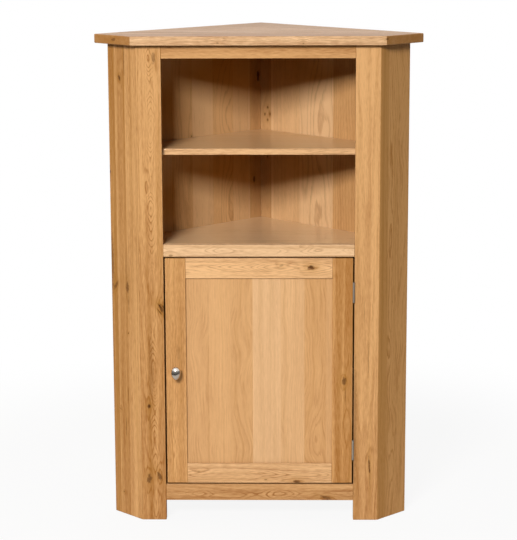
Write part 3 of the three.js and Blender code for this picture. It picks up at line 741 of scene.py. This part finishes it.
def oak(board, timber):
    """Lacquered oak: growth rings round a pith behind the face, flames, knots, pores and end grain."""
    finish = Finish(bpy.data.materials.new(f"oak_{board.node}"))
    at = board_places(finish, board)
    marks = knot_marks(finish, board, at)
    bent = at.across + marks.bend
    flowing = finish.vector_math("ADD", finish.vector(at.along, bent, at.deep), at.start)
    early, flamed, strand = growth_rings(finish, board, at, marks, bent, flowing)

    fibre = finish.noise(flowing, FIBRE_GRAINS) - 0.5
    fine = finish.noise(flowing, FINE_FIBRE_GRAINS, 1.0) - 0.5
    pore = finish.step(finish.noise(flowing, PORE_GRAINS, 1.0), 0.54, 0.70) * (early * 0.7 + 0.3)
    cloud = finish.noise(at.seeded, CLOUD_GRAINS) - 0.5
    band = finish.noise(flowing, BAND_GRAINS, 1.0) - 0.5
    pale_line = finish.step(finish.noise(flowing, PALE_LINE_GRAINS, 1.0), 0.60, 0.74)

    rings = (early - MEAN_EARLY) * flamed * (RING_TONE * board.figure)
    grain = fibre * FIBRE_TONE + strand * STRAND_TONE + fine * FINE_FIBRE_TONE + pore * PORE_TONE
    tones = cloud * CLOUD_TONE + (band - pale_line * PALE_LINE_TONE) * board.bands
    pattern = (rings + grain + tones) * board.contrast
    dark = pattern + at.along * board.fall + finish.face_value("shade") + timber.middle_tone
    colour = wood_colour(finish, board, timber, dark, flowing)
    if board.knots:
        colour = finish.mix(marks.halo, colour, opaque(timber.amber))
        colour = finish.mix(marks.spots, colour, opaque(timber.knot))
    tone = opaque([1.0 + board.tone] * 3)
    # For bounced light the wood is darker than the camera sees it, which paints deeper shade in the
    # compartments
    passed_on = finish.mix(finish.ray("Is Diffuse Ray"), tone, opaque(timber.passed_on))
    return finish.surface({
        "Base Color": finish.vector_math("MULTIPLY", colour, passed_on),
        "Roughness": timber.roughness + (pore + cloud) * PORE_ROUGHNESS,
        "Specular IOR Level": timber.shine,
        "Normal": finish.bump(early * 0.3 + pore, PORE_DEPTH, 0.35),
        "Coat Weight": board.gloss,
        "Coat Roughness": timber.lacquer_roughness,
    })


def saw_boards(boards, timber):
    """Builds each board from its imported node. The slanted ends of an uneased board stay crisp."""
    for board in boards:
        place = placement(board.grain, board.face, packed_points(board.node))
        shape = packed_shape(board.node, place)
        if board.eased:
            ease_edges(shape, timber.arris, timber.arris_steps, timber.shortest_edge)
        part_planks(shape, board.planks, board.painted_face_shade)
        smooth_angle = EASED_ANGLE if board.eased else CRISP_ANGLE
        finished_piece(f"{board.node}_oak", shape, oak(board, timber), place, board.node, smooth_angle)


# Hardware

# Grains of each noise to the metre. Brushing has this many times as many from top to bottom
BRUSHING_FINENESS = 12.0
NICKEL_BRUSHING = 40.0
ZINC_BRUSHING = 60.0
PLATING_GRAINS = (90.0, 90.0, 90.0)
PLASTIC_GRAINS = (2500.0, 2500.0, 2500.0)

# Depths of the finest relief
BRUSHING_DEPTH = 0.00002
PLASTIC_DEPTH = 0.00003

# Facets round a turned piece. The flat end of a packed one has at least so many corners
PIN_SIDES = 32
SCREW_SIDES = 24
KNOB_SIDES = 64
ROUND_FACE_CORNERS = 8

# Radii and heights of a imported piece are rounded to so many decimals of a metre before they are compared
PROFILE_DECIMALS = 5


def metal(name, colour, roughness, brushing, brushed=1.0):
    """Plated metal, with fine brushing lines as far as it is brushed."""
    finish = Finish(bpy.data.materials.new(name))
    place = finish.coordinates("Object")
    lines = finish.noise(place, (brushing, brushing, brushing * BRUSHING_FINENESS)) - 0.5
    cloud = finish.noise(place, PLATING_GRAINS) - 0.5
    tint = finish.mix(cloud + 0.4, opaque(colour), opaque([c * 0.8 for c in colour]))
    return finish.surface({
        "Base Color": tint,
        "Metallic": 1.0,
        "Roughness": roughness + (lines * 0.12 + cloud * 0.08) * brushed,
        "Normal": finish.bump(lines, BRUSHING_DEPTH, 0.25 * brushed),
    })


def moulded_plastic(name, colour):
    """Brown moulded plastic with a fine matt grain."""
    finish = Finish(bpy.data.materials.new(name))
    grain = finish.noise(finish.coordinates("Object"), PLASTIC_GRAINS)
    tint = finish.mix(grain, opaque(colour), opaque([c * 1.3 for c in colour]))
    return finish.surface({
        "Base Color": tint,
        "Roughness": 0.45 + grain * 0.15,
        "Normal": finish.bump(grain, PLASTIC_DEPTH, 0.3),
    })


def nodes_named(word):
    """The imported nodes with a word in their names."""
    return [node for node in SLOT_OF if word in node]


def hardware_finish(node, hardware):
    """The material of a node's slot, made when it is first asked for."""
    slot = SLOT_OF[node]
    made = bpy.data.materials.get(slot)
    if made:
        return made
    if slot == "nickel":
        return metal(slot, hardware.nickel, hardware.nickel_roughness, NICKEL_BRUSHING)
    if slot == "steel":
        return metal(slot, hardware.zinc, hardware.zinc_roughness, ZINC_BRUSHING)
    return moulded_plastic(slot, hardware.catch_brown)


def plate_piece(node, hardware):
    """A packed plate, leaf or block with its edges eased."""
    place = placement(RIGHT, UP, packed_points(node))
    shape = packed_shape(node, place)
    steps, shortest = 2, hardware.edge * 4
    ease_edges(shape, hardware.edge, steps, shortest)
    finished_piece(f"{node}_eased", shape, hardware_finish(node, hardware), place, node)


def join_rings(shape, rings, sides):
    """Joins rings of points one after another. A ring of one point closes an end."""
    for low, high in zip(rings, rings[1:]):
        for i in range(sides):
            j = (i + 1) % sides
            corners = [low[i % len(low)], low[j % len(low)], high[j % len(high)], high[i % len(high)]]
            shape.faces.new(list(dict.fromkeys(corners)))


def turn_profile(shape, profile, sides):
    """Turns radii and heights about the z axis, and gives the rings. A radius of zero closes an end."""
    rings = []
    for radius, height in profile:
        angles = [math.tau * i / sides for i in range(sides if radius else 1)]
        rings.append([shape.verts.new((radius * math.cos(a), radius * math.sin(a), height)) for a in angles])
    join_rings(shape, rings, sides)
    return rings


def packed_profile(node):
    """The frame of a turned piece, with z out of its head, and its radii and heights from the other end."""
    shape = packed_shape(node, Matrix())
    round_faces = [face for face in shape.faces if len(face.verts) >= ROUND_FACE_CORNERS]
    head = max(round_faces, key=lambda face: face.calc_area())
    turn = head.normal.to_track_quat("Z", "Y").to_matrix().to_4x4()
    place = Matrix.Translation(head.calc_center_median()) @ turn
    shape.free()
    widest = {}
    for point in packed_points(node):
        local = place.inverted() @ point
        height = round(local.z, PROFILE_DECIMALS)
        radius = round(math.hypot(local.x, local.y), PROFILE_DECIMALS)
        widest[height] = max(widest.get(height, 0.0), radius)
    return place, [(radius, height) for height, radius in sorted(widest.items())]


def turned_piece(node, hardware, make_shape):
    """A pin, peg or screw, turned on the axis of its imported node."""
    place, profile = packed_profile(node)
    shape = bmesh.new()
    make_shape(shape, profile)
    finished_piece(f"{node}_turned", shape, hardware_finish(node, hardware), place, node)


def pin_shape(shape, packed):
    """A pin with bevelled ends."""
    radius, low = packed[0]
    bevel_share = 0.2
    bevel = radius * bevel_share
    end = [(0, 0), (radius - bevel, 0), (radius, bevel)]
    turn_profile(shape, [(r, low + h) for r, h in end] + [(r, -h) for r, h in reversed(end)], PIN_SIDES)


def screw_shape(shape, packed):
    """A screw with a thread, and a cross recess in its head."""
    root_share, pitch_share = 0.8, 0.8
    narrow_share, reach_share, recess_share = 0.13, 0.55, 0.3
    tip_radius, low = packed[0]
    shank = tip_radius or packed[1][0]
    under_radius, under = packed[-2]
    head_radius = packed[-1][0]
    root = shank * root_share
    pitch = shank * pitch_share
    profile = [(0, low)]
    if tip_radius:
        profile.append((root, low))
    start = low if tip_radius else packed[1][1]
    height = start + pitch / 2
    while height + pitch < under:
        profile += [(root, height), (shank, height + pitch / 2)]
        height += pitch
    profile += [(root, height), (shank, under)]
    if under_radius > shank:
        profile.append((under_radius, under))
    profile.append((head_radius, 0))
    rim = turn_profile(shape, profile, SCREW_SIDES)[-1]
    narrow, reach = head_radius * narrow_share, head_radius * reach_share
    outline = [(narrow, reach), (narrow, narrow), (reach, narrow)]
    for _ in range(3):
        outline += [(y, -x) for x, y in outline[-3:]]
    depths = (0, head_radius * recess_share)
    rings = [[shape.verts.new((x, y, -depth)) for x, y in outline] for depth in depths]
    loops = [edge for edge in shape.edges if all(v in rim for v in edge.verts)]
    loops += [shape.edges.new(pair) for pair in zip(rings[0], rings[0][1:] + rings[0][:1])]
    bmesh.ops.triangle_fill(shape, use_beauty=True, edges=loops)
    join_rings(shape, rings, len(outline))
    shape.faces.new(rings[1])
    bmesh.ops.recalc_face_normals(shape, faces=shape.faces)


def knob_outline(angle, half_width, rise, drop):
    """A point of the knob's egg outline, from its widest line. It is narrower below."""
    side, lift = math.cos(angle), math.sin(angle)
    taper_share, taper_power = 0.3, 2.5
    taper = 1 - taper_share * max(-lift, 0) ** taper_power
    return Vector((half_width * side * taper, (rise if lift > 0 else drop) * lift))


def knob_rings(foot, stem):
    """The rings from the door outwards: radius of the stem, share of the egg, and share of the way out."""
    back_share, rim_share = 0.48, 0.66
    back_steps, dome_steps = 8, 12
    dome_fullness = 0.9
    rings = [(foot, 0, 0.0), (foot, 0, 0.08), (foot * 0.94, 0, 0.11), (stem * 1.15, 0, 0.15), (stem, 0, 0.22)]
    for i in range(back_steps + 1):
        turn = math.pi / 2 * i / back_steps
        rings.append((stem, math.sin(turn), back_share + (rim_share - back_share) * (1 - math.cos(turn))))
    for i in range(1, dome_steps):
        turn = math.pi / 2 * i / dome_steps
        rings.append((0, math.cos(turn) ** dome_fullness, rim_share + (1 - rim_share) * math.sin(turn)))
    return rings


def knob_piece(node, hardware):
    """The egg-shaped knob on a round foot and stem."""
    low, high = (Vector(corner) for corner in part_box(node))
    size = high - low
    rise = size.z * hardware.knob_widest
    widest = high.z - rise
    middle = Vector(((low.x + high.x) / 2, (low.z + high.z) / 2))
    shape = bmesh.new()
    made = []
    for radius, swell, forward in knob_rings(hardware.knob_foot, hardware.knob_stem):
        points = []
        for i in range(KNOB_SIDES):
            angle = math.tau * i / KNOB_SIDES
            egg = knob_outline(angle, size.x / 2, rise, size.z - rise)
            round_point = Vector((radius * math.cos(angle), middle.y - widest + radius * math.sin(angle)))
            point = round_point.lerp(egg, swell) if radius else egg * swell
            points.append(shape.verts.new((middle.x + point.x, high.y - size.y * forward, widest + point.y)))
        made.append(points)
    made.append([shape.verts.new((middle.x, low.y, widest))])
    join_rings(shape, made, KNOB_SIDES)
    shape.faces.new(made[0])
    bmesh.ops.recalc_face_normals(shape, faces=shape.faces)
    polished = metal("knob_nickel", hardware.nickel, hardware.knob_roughness, NICKEL_BRUSHING, brushed=0.3)
    finished_piece(f"{node}_egg", shape, polished, Matrix(), node, ROUND_ANGLE)


# Stage

def area_lamp(name, place, target, size, power):
    """A rectangular lamp that looks at a point and is not seen itself."""
    lamp = bpy.data.lights.new(name, "AREA")
    lamp.shape = "RECTANGLE"
    lamp.size, lamp.size_y = size
    lamp.energy = power
    made = bpy.data.objects.new(name, lamp)
    bpy.context.scene.collection.objects.link(made)
    made.location = place
    made.rotation_euler = (Vector(target) - Vector(place)).to_track_quat("-Z", "Y").to_euler()
    made.visible_camera = False


def studio_world(stage):
    """Light from a backdrop and a ceiling. The camera sees white, and metal sees a room with a dim front."""
    world = bpy.data.worlds.new("studio")
    bpy.context.scene.world = world
    finish = Finish(world)
    _, y, z = finish.parts(finish.coordinates("Generated"))
    light = finish.step(z, 0.35, 0.8) * stage.ceiling + finish.step(y, -0.4, 0.4) * stage.backdrop
    bright_ceiling = finish.step(z, 0.20, 0.34)
    bright_backdrop = finish.step(y, 0.1, 0.5) * 0.5
    shine = bright_ceiling + bright_backdrop + stage.front_shine
    glossy = finish.ray("Is Glossy Ray")
    seen = finish.ray("Is Camera Ray")
    strength = (light * (1.0 - glossy) + shine * glossy) * (1.0 - seen) + seen
    glow = finish.add("ShaderNodeBackground", {}, {"Color": opaque((1, 1, 1)), "Strength": strength})
    finish.add("ShaderNodeOutputWorld", {}, {"Surface": glow})


def studio_floor(stage):
    """A round pale floor that fades into the white background. Metal sees its far part black."""
    shape = bmesh.new()
    sides = 96
    bmesh.ops.create_circle(shape, cap_ends=True, radius=stage.floor_radius, segments=sides)
    mesh = bpy.data.meshes.new("floor")
    shape.to_mesh(mesh)
    shape.free()
    floor = bpy.data.objects.new("floor", mesh)
    bpy.context.scene.collection.objects.link(floor)
    finish = Finish(bpy.data.materials.new("pale_floor"))
    x, y, _ = finish.parts(finish.coordinates("Object"))
    away = (x * x + y * y).root()
    far_part = finish.step(away, 0.85, 1.15)
    outer_part = finish.step(away, 0.7, 1.6)
    unseen = far_part * finish.ray("Is Glossy Ray")
    pale = finish.add("ShaderNodeBsdfDiffuse", {}, {"Color": opaque(stage.floor_colour)})
    black = finish.add("ShaderNodeBsdfDiffuse", {}, {"Color": opaque((0, 0, 0))})
    matt = finish.add("ShaderNodeMixShader", {}, {0: unseen, 1: pale, 2: black})
    glow = finish.add("ShaderNodeEmission", {}, {"Color": opaque((1, 1, 1)), "Strength": 1.0})
    whitened = finish.ray("Is Camera Ray") * (outer_part * 0.1 + 0.9)
    mixed = finish.add("ShaderNodeMixShader", {}, {0: whitened, 1: matt, 2: glow})
    finish.add("ShaderNodeOutputMaterial", {}, {"Surface": mixed})
    mesh.materials.append(finish.owner)


def studio_camera(stage):
    """The camera of the photograph."""
    camera = bpy.data.cameras.new("camera")
    camera.lens = stage.lens
    camera.sensor_width = 36.0
    camera.clip_end = 100.0
    made = bpy.data.objects.new("camera", camera)
    bpy.context.scene.collection.objects.link(made)
    pitch, yaw = stage.camera_pitch, stage.camera_yaw
    look = Vector((math.sin(yaw) * math.cos(pitch), math.cos(yaw) * math.cos(pitch), -math.sin(pitch)))
    side = Vector((math.cos(yaw), -math.sin(yaw), 0.0))
    lift = side.cross(look)
    lean = Matrix.Rotation(stage.camera_roll, 3, -look)
    turn = Matrix((lean @ side, lean @ lift, -look)).transposed()
    made.matrix_world = Matrix.Translation(stage.camera_place) @ turn.to_4x4()
    bpy.context.scene.camera = made


# Settings

class TimberSettings(bpy.types.PropertyGroup):
    """Oak and its lacquer"""

    arris: bpy.props.FloatProperty(
        name="Arris", description="Radius along the edges of a board", default=0.0012, unit="LENGTH")
    arris_steps: bpy.props.IntProperty(
        name="Arris steps", description="Facets of a rounded edge", default=3, min=1)
    shortest_edge: bpy.props.FloatProperty(
        name="Shortest edge", description="Edges shorter than this stay sharp", default=0.018, unit="LENGTH")
    honey: bpy.props.FloatVectorProperty(
        name="Honey oak", description="Late wood", subtype="COLOR", default=(0.80, 0.432, 0.168))
    honey_brown: bpy.props.FloatVectorProperty(
        name="Brown oak", description="Early wood", subtype="COLOR", default=(0.40, 0.155, 0.036))
    cream: bpy.props.FloatVectorProperty(
        name="Cream oak", description="Late sapwood", subtype="COLOR", default=(0.95, 0.62, 0.34))
    cream_brown: bpy.props.FloatVectorProperty(
        name="Fawn oak", description="Early sapwood", subtype="COLOR", default=(0.48, 0.25, 0.115))
    amber: bpy.props.FloatVectorProperty(
        name="Amber", description="Veins along the grain", subtype="COLOR", default=(0.42, 0.18, 0.028))
    end: bpy.props.FloatVectorProperty(
        name="End grain", description="Tone of end grain", subtype="COLOR", default=(0.38, 0.15, 0.02))
    end_darkening: bpy.props.FloatProperty(
        name="End darkening", description="Strength of the end tone", default=0.8, subtype="FACTOR")
    knot: bpy.props.FloatVectorProperty(
        name="Knot", description="Tone of a knot", subtype="COLOR", default=(0.095, 0.028, 0.006))
    # Light that wood passes on to other wood is dimmed, which paints deeper shade inside the cupboard
    passed_on: bpy.props.FloatVectorProperty(
        name="Passed on", description="Light that wood gives to other wood", subtype="COLOR",
        default=(0.44, 0.35, 0.02))
    roughness: bpy.props.FloatProperty(
        name="Roughness", description="Roughness under the lacquer", default=0.40, subtype="FACTOR")
    shine: bpy.props.FloatProperty(
        name="Shine", description="Specular level under the lacquer", default=0.12, subtype="FACTOR")
    lacquer_roughness: bpy.props.FloatProperty(
        name="Lacquer roughness", description="Roughness of the lacquer", default=0.16, subtype="FACTOR")
    middle_tone: bpy.props.FloatProperty(
        name="Middle tone", description="How brown plain wood is", default=0.34, subtype="FACTOR")


class HardwareSettings(bpy.types.PropertyGroup):
    """Knob, hinges, catch and fixings"""

    nickel: bpy.props.FloatVectorProperty(
        name="Nickel", description="Satin nickel", subtype="COLOR", default=(0.66, 0.60, 0.53))
    zinc: bpy.props.FloatVectorProperty(
        name="Zinc", description="Zinc plate", subtype="COLOR", default=(0.50, 0.49, 0.47))
    catch_brown: bpy.props.FloatVectorProperty(
        name="Catch", description="Plastic of the catch", subtype="COLOR", default=(0.10, 0.05, 0.03))
    edge: bpy.props.FloatProperty(
        name="Edge", description="Radius along the edges of a leaf or plate", default=0.0002, unit="LENGTH")
    knob_widest: bpy.props.FloatProperty(
        name="Knob widest", description="Share above the widest line", default=0.43, subtype="FACTOR")
    knob_foot: bpy.props.FloatProperty(
        name="Knob foot", description="Radius of the knob's foot", default=0.0075, unit="LENGTH")
    knob_stem: bpy.props.FloatProperty(
        name="Knob stem", description="Radius of the knob's stem", default=0.0050, unit="LENGTH")
    knob_roughness: bpy.props.FloatProperty(
        name="Knob roughness", description="Roughness of the polished knob", default=0.2, subtype="FACTOR")
    nickel_roughness: bpy.props.FloatProperty(
        name="Nickel roughness", description="Roughness of the hinges", default=0.22, subtype="FACTOR")
    zinc_roughness: bpy.props.FloatProperty(
        name="Zinc roughness", description="Roughness of screws and pins", default=0.38, subtype="FACTOR")


class StageSettings(bpy.types.PropertyGroup):
    """Camera, lamp and backdrop"""

    lens: bpy.props.FloatProperty(
        name="Lens", description="Focal length", default=124.97, unit="CAMERA")
    camera_place: bpy.props.FloatVectorProperty(
        name="Camera place", description="Place of the camera", subtype="TRANSLATION",
        default=(0.0698, -4.6765, 1.5281))
    camera_pitch: bpy.props.FloatProperty(
        name="Pitch", description="How far the camera looks down", default=0.1979, subtype="ANGLE")
    camera_yaw: bpy.props.FloatProperty(
        name="Yaw", description="How far the camera looks to the right", default=-0.0159, subtype="ANGLE")
    camera_roll: bpy.props.FloatProperty(
        name="Roll", description="Lean of the camera", default=-0.0033, subtype="ANGLE")
    lamp_place: bpy.props.FloatVectorProperty(
        name="Lamp place", description="Place of the lamp", subtype="TRANSLATION", default=(-1.25, -4.5, 2.9))
    lamp_aim: bpy.props.FloatVectorProperty(
        name="Lamp aim", description="Where the lamp looks", subtype="TRANSLATION", default=(0.0, -0.1, 0.9))
    lamp_size: bpy.props.FloatVectorProperty(
        name="Lamp size", description="Width and height", size=2, unit="LENGTH", default=(1.4, 1.0))
    lamp_power: bpy.props.FloatProperty(
        name="Lamp power", description="Power of the lamp in watts", default=230.0, unit="POWER")
    backdrop: bpy.props.FloatProperty(
        name="Backdrop", description="Light from the white backdrop", default=0.5)
    ceiling: bpy.props.FloatProperty(
        name="Ceiling", description="Light from above", default=0.15)
    front_shine: bpy.props.FloatProperty(
        name="Front shine", description="How bright metal sees the front of the room", default=0.22)
    floor_radius: bpy.props.FloatProperty(
        name="Floor radius", description="Radius of the floor", default=1.7, unit="LENGTH")
    floor_colour: bpy.props.FloatVectorProperty(
        name="Floor colour", description="Pale floor", subtype="COLOR", default=(0.85, 0.83, 0.80))


# Steps

class CUPBOARD_OT_front_stiles(bpy.types.Operator):
    """Front stiles"""

    bl_idname = "cupboard.front_stiles"
    bl_label = "Front stiles"

    def execute(self, context):
        saw_boards(FRONT_STILE_BOARDS, context.scene.cupboard_timber)
        return {"FINISHED"}


class CUPBOARD_OT_side_returns(bpy.types.Operator):
    """Side returns"""

    bl_idname = "cupboard.side_returns"
    bl_label = "Side returns"

    def execute(self, context):
        saw_boards(SIDE_RETURN_BOARDS, context.scene.cupboard_timber)
        return {"FINISHED"}


class CUPBOARD_OT_rails(bpy.types.Operator):
    """Top, middle and plinth rails"""

    bl_idname = "cupboard.rails"
    bl_label = "Rails"

    def execute(self, context):
        saw_boards(RAIL_BOARDS, context.scene.cupboard_timber)
        return {"FINISHED"}


class CUPBOARD_OT_top_board(bpy.types.Operator):
    """Top board"""

    bl_idname = "cupboard.top_board"
    bl_label = "Top board"

    def execute(self, context):
        saw_boards(TOP_BOARDS, context.scene.cupboard_timber)
        return {"FINISHED"}


class CUPBOARD_OT_back_panels(bpy.types.Operator):
    """Back panels"""

    bl_idname = "cupboard.back_panels"
    bl_label = "Back panels"

    def execute(self, context):
        saw_boards(BACK_BOARDS, context.scene.cupboard_timber)
        return {"FINISHED"}


class CUPBOARD_OT_shelves(bpy.types.Operator):
    """Fixed boards and loose shelves"""

    bl_idname = "cupboard.shelves"
    bl_label = "Shelves"

    def execute(self, context):
        saw_boards(SHELF_BOARDS, context.scene.cupboard_timber)
        return {"FINISHED"}


class CUPBOARD_OT_supports(bpy.types.Operator):
    """Rear foot, cleats and blocks"""

    bl_idname = "cupboard.supports"
    bl_label = "Supports"

    def execute(self, context):
        saw_boards(SUPPORT_BOARDS, context.scene.cupboard_timber)
        return {"FINISHED"}


class CUPBOARD_OT_door_boards(bpy.types.Operator):
    """Stiles, rails and panel of the door"""

    bl_idname = "cupboard.door_boards"
    bl_label = "Door boards"

    def execute(self, context):
        saw_boards(DOOR_BOARDS, context.scene.cupboard_timber)
        return {"FINISHED"}


class CUPBOARD_OT_knob(bpy.types.Operator):
    """Door knob"""

    bl_idname = "cupboard.knob"
    bl_label = "Knob"

    def execute(self, context):
        knob_piece("door_knob", context.scene.cupboard_hardware)
        return {"FINISHED"}


class CUPBOARD_OT_hinges(bpy.types.Operator):
    """Leaves and pins of the hinges"""

    bl_idname = "cupboard.hinges"
    bl_label = "Hinges"

    def execute(self, context):
        hardware = context.scene.cupboard_hardware
        for node in nodes_named("_leaf"):
            plate_piece(node, hardware)
        for node in nodes_named("_pin"):
            turned_piece(node, hardware, pin_shape)
        return {"FINISHED"}


class CUPBOARD_OT_catch(bpy.types.Operator):
    """Catch, magnet and strike plate"""

    bl_idname = "cupboard.catch"
    bl_label = "Catch"

    def execute(self, context):
        for node in ("catch_body", "catch_magnet", "strike_plate"):
            plate_piece(node, context.scene.cupboard_hardware)
        return {"FINISHED"}


class CUPBOARD_OT_pegs(bpy.types.Operator):
    """Shelf pegs"""

    bl_idname = "cupboard.pegs"
    bl_label = "Pegs"

    def execute(self, context):
        for node in nodes_named("_peg"):
            turned_piece(node, context.scene.cupboard_hardware, pin_shape)
        return {"FINISHED"}


class CUPBOARD_OT_screws(bpy.types.Operator):
    """Screws"""

    bl_idname = "cupboard.screws"
    bl_label = "Screws"

    def execute(self, context):
        for node in nodes_named("screw"):
            turned_piece(node, context.scene.cupboard_hardware, screw_shape)
        return {"FINISHED"}


class CUPBOARD_OT_stage(bpy.types.Operator):
    """Camera, lamp, world and floor"""

    bl_idname = "cupboard.stage"
    bl_label = "Stage"

    def execute(self, context):
        stage = context.scene.cupboard_stage
        studio_camera(stage)
        studio_world(stage)
        studio_floor(stage)
        area_lamp("lamp", stage.lamp_place, stage.lamp_aim, stage.lamp_size, stage.lamp_power)
        context.scene.view_settings.view_transform = "Standard"
        return {"FINISHED"}


class CUPBOARD_PT_panel(bpy.types.Panel):
    """Lists the steps of the cupboard"""

    bl_idname = "CUPBOARD_PT_panel"
    bl_label = "Oak Corner Cupboard"
    bl_space_type = "VIEW_3D"
    bl_region_type = "UI"
    bl_category = "Cupboard"

    def draw(self, context):
        for step in STEPS:
            self.layout.operator(step.bl_idname)


STEPS = (
    CUPBOARD_OT_front_stiles,
    CUPBOARD_OT_side_returns,
    CUPBOARD_OT_rails,
    CUPBOARD_OT_top_board,
    CUPBOARD_OT_back_panels,
    CUPBOARD_OT_shelves,
    CUPBOARD_OT_supports,
    CUPBOARD_OT_door_boards,
    CUPBOARD_OT_knob,
    CUPBOARD_OT_hinges,
    CUPBOARD_OT_catch,
    CUPBOARD_OT_pegs,
    CUPBOARD_OT_screws,
    CUPBOARD_OT_stage,
)
GROUPS = {
    "cupboard_timber": TimberSettings,
    "cupboard_hardware": HardwareSettings,
    "cupboard_stage": StageSettings,
}


def register():
    for group in (*GROUPS.values(), *STEPS, CUPBOARD_PT_panel):
        bpy.utils.register_class(group)
    for name, group in GROUPS.items():
        setattr(bpy.types.Scene, name, bpy.props.PointerProperty(type=group))


def unregister():
    for name in GROUPS:
        delattr(bpy.types.Scene, name)
    for group in (CUPBOARD_PT_panel, *reversed(STEPS), *GROUPS.values()):
        bpy.utils.unregister_class(group)


def main():
    register()
    for step in STEPS:
        getattr(bpy.ops.cupboard, step.bl_idname.split(".")[1])()


if __name__ == "__main__":
    main()
